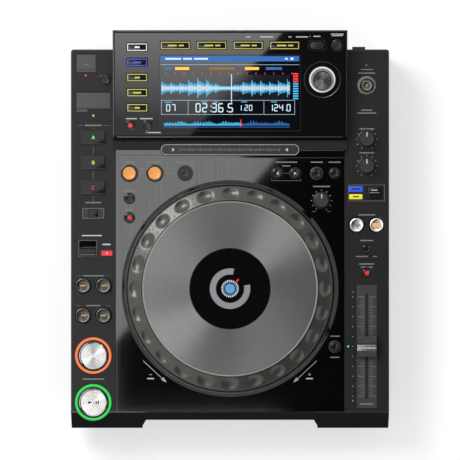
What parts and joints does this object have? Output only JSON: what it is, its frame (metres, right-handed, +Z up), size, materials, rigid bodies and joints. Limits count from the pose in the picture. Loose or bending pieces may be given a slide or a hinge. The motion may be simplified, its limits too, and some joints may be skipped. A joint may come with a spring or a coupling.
{
  "type": "tabletop dj disc player",
  "caption": "Tabletop disc player for DJs: slot-loading drive, large spinning jog wheel, tilted display housing, tempo fader, cue and play keys, covers over card and data ports.",
  "frame": {"origin": "centre of the bounding box at the bottom of the rubber feet", "axes": "+X to the user's right, +Y to the back of the player, +Z up; the player is deepest along Y and lowest along Z"},
  "size_m": [0.32, 0.4, 0.1072],
  "materials": {
    "case_moulding": "fine texture",
    "chassis_steel": "satin",
    "foot_rubber": "matt",
    "deck_metal": "brushed, dark anodised",
    "gloss_black": "high gloss",
    "screen": "gloss",
    "strip_plastic": "satin",
    "socket_black": "satin",
    "socket_metal": "bright",
    "screw_steel": "black",
    "board": "solder mask",
    "drive_steel": "satin",
    "holder_plastic": "matt",
    "rim_plastic": "satin, smoke",
    "spun_aluminium": "spun, dark anodised",
    "window_black": "polished",
    "lit_lens": "translucent",
    "key_black": "gloss",
    "key_amber": "translucent",
    "key_silver": "plated",
    "key_spun": "spun",
    "knob_black": "satin"
  },
  "bodies": {
    "player": {"bottom_chassis": "chassis_steel", "rubber_feet": "foot_rubber", "top_case": "case_moulding", "deck_plate": "deck_metal", "display_housing": "gloss_black", "display_panel": "gloss_black", "lcd_module": "screen", "needle_strip": "strip_plastic", "rear_panel": "chassis_steel", "rear_sockets": "socket_black", "media_sockets": "socket_metal", "case_screws": "screw_steel", "circuit_boards": "board", "drive_frame": "drive_steel", "jog_holder": "holder_plastic", "jog_display": "screen", "fader_track": "strip_plastic", "light_rings": "lit_lens"},
    "jog_wheel": {"jog_ring": "rim_plastic"},
    "jog_touch_plate": {"jog_plate": "spun_aluminium", "jog_window": "window_black"},
    "selector_shaft": {"selector_shaft": "drive_steel"},
    "selector_knob": {"selector_knob": "key_spun"},
    "source_keys": {"source_keys": "key_black"},
    "menu_keys": {"menu_keys": "key_black"},
    "back_key": {"back_key": "key_black"},
    "tag_key": {"tag_key": "key_black"},
    "quantize_keys": {"quantize_keys": "key_black"},
    "loop_in_button": {"loop_in_button": "key_amber"},
    "loop_out_button": {"loop_out_button": "key_amber"},
    "reloop_button": {"reloop_button": "key_black"},
    "slip_keys": {"slip_keys": "key_black"},
    "call_keys": {"call_keys": "key_black"},
    "delete_button": {"delete_button": "key_black"},
    "memory_button": {"memory_button": "key_black"},
    "tempo_reset_button": {"tempo_reset_button": "key_black"},
    "usb_stop_button": {"usb_stop_button": "key_black"},
    "hot_cue_a": {"hot_cue_a": "key_black"},
    "hot_cue_b": {"hot_cue_b": "key_black"},
    "hot_cue_c": {"hot_cue_c": "key_black"},
    "hot_cue_call": {"hot_cue_call": "key_black"},
    "eject_button": {"eject_button": "key_black"},
    "jog_mode_button": {"jog_mode_button": "key_black"},
    "sync_button": {"sync_button": "key_silver"},
    "master_button": {"master_button": "key_silver"},
    "tempo_keys": {"tempo_keys": "key_black"},
    "cue_button": {"cue_button": "key_spun"},
    "play_button": {"play_button": "key_spun"},
    "track_search_keys": {"track_search_keys": "key_black"},
    "search_keys": {"search_keys": "key_black"},
    "touch_knob": {"touch_knob": "knob_black"},
    "release_knob": {"release_knob": "knob_black"},
    "jog_adjust_knob": {"jog_adjust_knob": "knob_black"},
    "direction_lever": {"direction_lever": "knob_black"},
    "usb_cover": {"usb_cover": "gloss_black"},
    "sd_door": {"sd_door": "gloss_black"},
    "fader_knob": {"fader_knob": "knob_black"},
    "power_switch": {"power_switch": "holder_plastic"},
    "disc_turntable": {"disc_turntable": "drive_steel"},
    "pickup_sled": {"pickup_sled": "holder_plastic"}
  },
  "joints": [
    {"name": "jog_wheel_turn", "type": "hinge", "parent": "player", "child": "jog_wheel", "pos_m": [0, -0.05881, 0.0852], "axis": [0, 0, 1], "continuous": true},
    {"name": "jog_touch_press", "type": "slide", "parent": "jog_wheel", "child": "jog_touch_plate", "axis": [0, 0, -1], "range_m": [0, 0.0006], "stiffness_N_per_m": 9000, "springref_m": -0.0007},
    {"name": "selector_press", "type": "slide", "parent": "player", "child": "selector_shaft", "axis": [0, 0.1908, -0.9816], "range_m": [0, 0.0005], "stiffness_N_per_m": 2000, "springref_m": -0.0007},
    {"name": "selector_knob_turn", "type": "hinge", "parent": "selector_shaft", "child": "selector_knob", "pos_m": [0.0925, 0.15081, 0.09763], "axis": [0, -0.1908, 0.9816], "continuous": true},
    {"name": "source_keys_press", "type": "slide", "parent": "player", "child": "source_keys", "axis": [0, 0.1908, -0.9816], "range_m": [0, 0.0006], "stiffness_N_per_m": 800, "springref_m": -0.0008},
    {"name": "menu_keys_press", "type": "slide", "parent": "player", "child": "menu_keys", "axis": [0, 0.1908, -0.9816], "range_m": [0, 0.0006], "stiffness_N_per_m": 800, "springref_m": -0.0008},
    {"name": "back_key_press", "type": "slide", "parent": "player", "child": "back_key", "axis": [0, 0.1908, -0.9816], "range_m": [0, 0.0006], "stiffness_N_per_m": 800, "springref_m": -0.0008},
    {"name": "tag_key_press", "type": "slide", "parent": "player", "child": "tag_key", "axis": [0, 0.1908, -0.9816], "range_m": [0, 0.0006], "stiffness_N_per_m": 800, "springref_m": -0.0008},
    {"name": "quantize_keys_press", "type": "slide", "parent": "player", "child": "quantize_keys", "axis": [0, 0.1908, -0.9816], "range_m": [0, 0.0006], "stiffness_N_per_m": 800, "springref_m": -0.0008},
    {"name": "loop_in_button_press", "type": "slide", "parent": "player", "child": "loop_in_button", "axis": [0, 0, -1], "range_m": [0, 0.001], "stiffness_N_per_m": 800, "springref_m": -0.0008},
    {"name": "loop_out_button_press", "type": "slide", "parent": "player", "child": "loop_out_button", "axis": [0, 0, -1], "range_m": [0, 0.001], "stiffness_N_per_m": 800, "springref_m": -0.0008},
    {"name": "reloop_button_press", "type": "slide", "parent": "player", "child": "reloop_button", "axis": [0, 0, -1], "range_m": [0, 0.0008], "stiffness_N_per_m": 800, "springref_m": -0.0008},
    {"name": "slip_keys_press", "type": "slide", "parent": "player", "child": "slip_keys", "axis": [0, 0, -1], "range_m": [0, 0.0008], "stiffness_N_per_m": 800, "springref_m": -0.0008},
    {"name": "call_keys_press", "type": "slide", "parent": "player", "child": "call_keys", "axis": [0, 0, -1], "range_m": [0, 0.0008], "stiffness_N_per_m": 800, "springref_m": -0.0008},
    {"name": "delete_button_press", "type": "slide", "parent": "player", "child": "delete_button", "axis": [0, 0, -1], "range_m": [0, 0.0006], "stiffness_N_per_m": 800, "springref_m": -0.0008},
    {"name": "memory_button_press", "type": "slide", "parent": "player", "child": "memory_button", "axis": [0, 0, -1], "range_m": [0, 0.0008], "stiffness_N_per_m": 800, "springref_m": -0.0008},
    {"name": "tempo_reset_button_press", "type": "slide", "parent": "player", "child": "tempo_reset_button", "axis": [0, 0, -1], "range_m": [0, 0.0006], "stiffness_N_per_m": 800, "springref_m": -0.0008},
    {"name": "usb_stop_button_press", "type": "slide", "parent": "player", "child": "usb_stop_button", "axis": [0, 0, -1], "range_m": [0, 0.0008], "stiffness_N_per_m": 800, "springref_m": -0.0008},
    {"name": "hot_cue_a_press", "type": "slide", "parent": "player", "child": "hot_cue_a", "axis": [0, 0, -1], "range_m": [0, 0.001], "stiffness_N_per_m": 800, "springref_m": -0.0008},
    {"name": "hot_cue_b_press", "type": "slide", "parent": "player", "child": "hot_cue_b", "axis": [0, 0, -1], "range_m": [0, 0.001], "stiffness_N_per_m": 800, "springref_m": -0.0008},
    {"name": "hot_cue_c_press", "type": "slide", "parent": "player", "child": "hot_cue_c", "axis": [0, 0, -1], "range_m": [0, 0.001], "stiffness_N_per_m": 800, "springref_m": -0.0008},
    {"name": "hot_cue_call_press", "type": "slide", "parent": "player", "child": "hot_cue_call", "axis": [0, 0, -1], "range_m": [0, 0.0006], "stiffness_N_per_m": 800, "springref_m": -0.0008},
    {"name": "eject_button_press", "type": "slide", "parent": "player", "child": "eject_button", "axis": [0, 0, -1], "range_m": [0, 0.001], "stiffness_N_per_m": 800, "springref_m": -0.0008},
    {"name": "jog_mode_button_press", "type": "slide", "parent": "player", "child": "jog_mode_button", "axis": [0, 0, -1], "range_m": [0, 0.0008], "stiffness_N_per_m": 800, "springref_m": -0.0008},
    {"name": "sync_button_press", "type": "slide", "parent": "player", "child": "sync_button", "axis": [0, 0, -1], "range_m": [0, 0.0008], "stiffness_N_per_m": 800, "springref_m": -0.0008},
    {"name": "master_button_press", "type": "slide", "parent": "player", "child": "master_button", "axis": [0, 0, -1], "range_m": [0, 0.0008], "stiffness_N_per_m": 800, "springref_m": -0.0008},
    {"name": "tempo_keys_press", "type": "slide", "parent": "player", "child": "tempo_keys", "axis": [0, 0, -1], "range_m": [0, 0.0008], "stiffness_N_per_m": 800, "springref_m": -0.0008},
    {"name": "cue_button_press", "type": "slide", "parent": "player", "child": "cue_button", "axis": [0, 0, -1], "range_m": [0, 0.0015], "stiffness_N_per_m": 1500, "springref_m": -0.001},
    {"name": "play_button_press", "type": "slide", "parent": "player", "child": "play_button", "axis": [0, 0, -1], "range_m": [0, 0.0015], "stiffness_N_per_m": 1500, "springref_m": -0.001},
    {"name": "track_search_keys_rock", "type": "hinge", "parent": "player", "child": "track_search_keys", "pos_m": [-0.1375, -0.0559, 0.067], "axis": [0, 1, 0], "range_deg": [-2.5, 2.5], "stiffness_Nm_per_rad": 0.12},
    {"name": "search_keys_rock", "type": "hinge", "parent": "player", "child": "search_keys", "pos_m": [-0.1375, -0.0859, 0.067], "axis": [0, 1, 0], "range_deg": [-2.5, 2.5], "stiffness_Nm_per_rad": 0.12},
    {"name": "touch_knob_turn", "type": "hinge", "parent": "player", "child": "touch_knob", "pos_m": [0.1375, 0.0915, 0.076], "axis": [0, 0, 1], "range_deg": [-150, 150]},
    {"name": "release_knob_turn", "type": "hinge", "parent": "player", "child": "release_knob", "pos_m": [0.1375, 0.0644, 0.076], "axis": [0, 0, 1], "range_deg": [-150, 150]},
    {"name": "jog_adjust_knob_turn", "type": "hinge", "parent": "player", "child": "jog_adjust_knob", "pos_m": [0.092, 0.0296, 0.0766], "axis": [0, 0, 1], "range_deg": [-150, 150]},
    {"name": "direction_lever_turn", "type": "hinge", "parent": "player", "child": "direction_lever", "pos_m": [-0.1431, -0.0187, 0.067], "axis": [1, 0, 0], "range_deg": [-28, 0]},
    {"name": "usb_cover_turn", "type": "hinge", "parent": "player", "child": "usb_cover", "pos_m": [-0.1447, 0.176, 0.075], "axis": [-1, 0, 0], "range_deg": [0, 100]},
    {"name": "sd_door_turn", "type": "hinge", "parent": "player", "child": "sd_door", "pos_m": [-0.1375, 0.1376, 0.075], "axis": [-1, 0, 0], "range_deg": [0, 100]},
    {"name": "tempo_fader_slide", "type": "slide", "parent": "player", "child": "fader_knob", "axis": [0, 1, 0], "range_m": [-0.05, 0.05]},
    {"name": "power_switch_press", "type": "slide", "parent": "player", "child": "power_switch", "axis": [0, -1, 0], "range_m": [0, 0.003], "stiffness_N_per_m": 600, "springref_m": -0.001},
    {"name": "disc_turntable_turn", "type": "hinge", "parent": "player", "child": "disc_turntable", "pos_m": [0, -0.1115, 0.043], "axis": [0, 0, 1], "continuous": true},
    {"name": "pickup_sled_slide", "type": "slide", "parent": "player", "child": "pickup_sled", "axis": [1, 0, 0], "range_m": [0, 0.033]}
  ]
}
